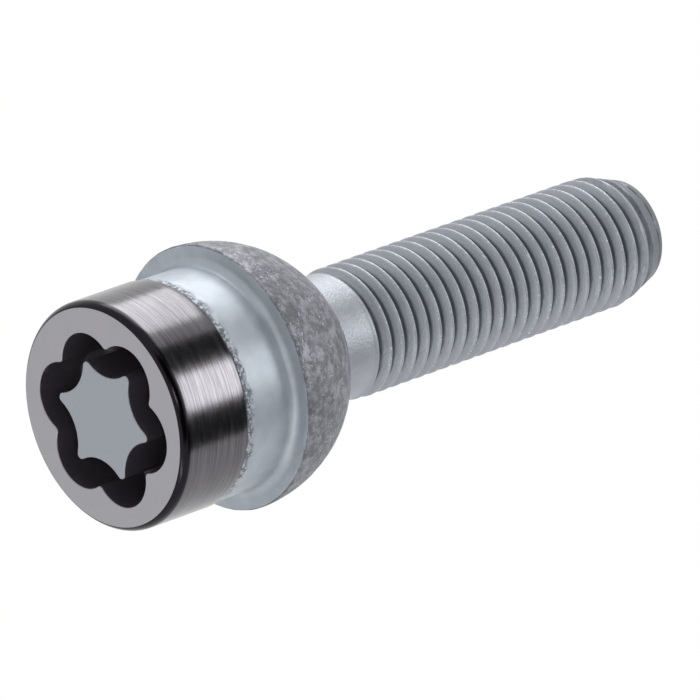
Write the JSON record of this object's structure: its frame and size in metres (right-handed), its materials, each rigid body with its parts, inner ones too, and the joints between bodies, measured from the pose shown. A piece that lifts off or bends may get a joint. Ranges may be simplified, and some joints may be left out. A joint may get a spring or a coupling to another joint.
{
  "type": "locking wheel bolt",
  "caption": "One-piece locking wheel bolt with a ball seat: a round head with a lobed key groove in its face, a collar, a spherical seat and a threaded shank.",
  "frame": {"origin": "centre of the head's flat key face, which is the lowest face at rest", "axes": "+Z along the bolt's axis from the key face to the thread tip; +X through one of the six lobes of the key groove"},
  "size_m": [0.024, 0.024, 0.063],
  "materials": {
    "coated_steel": "satin zinc flake coating on the collar, seat and thread; dark plated head with a ground face"
  },
  "bodies": {
    "root": {"wheel_bolt": "coated_steel"}
  },
  "joints": []
}
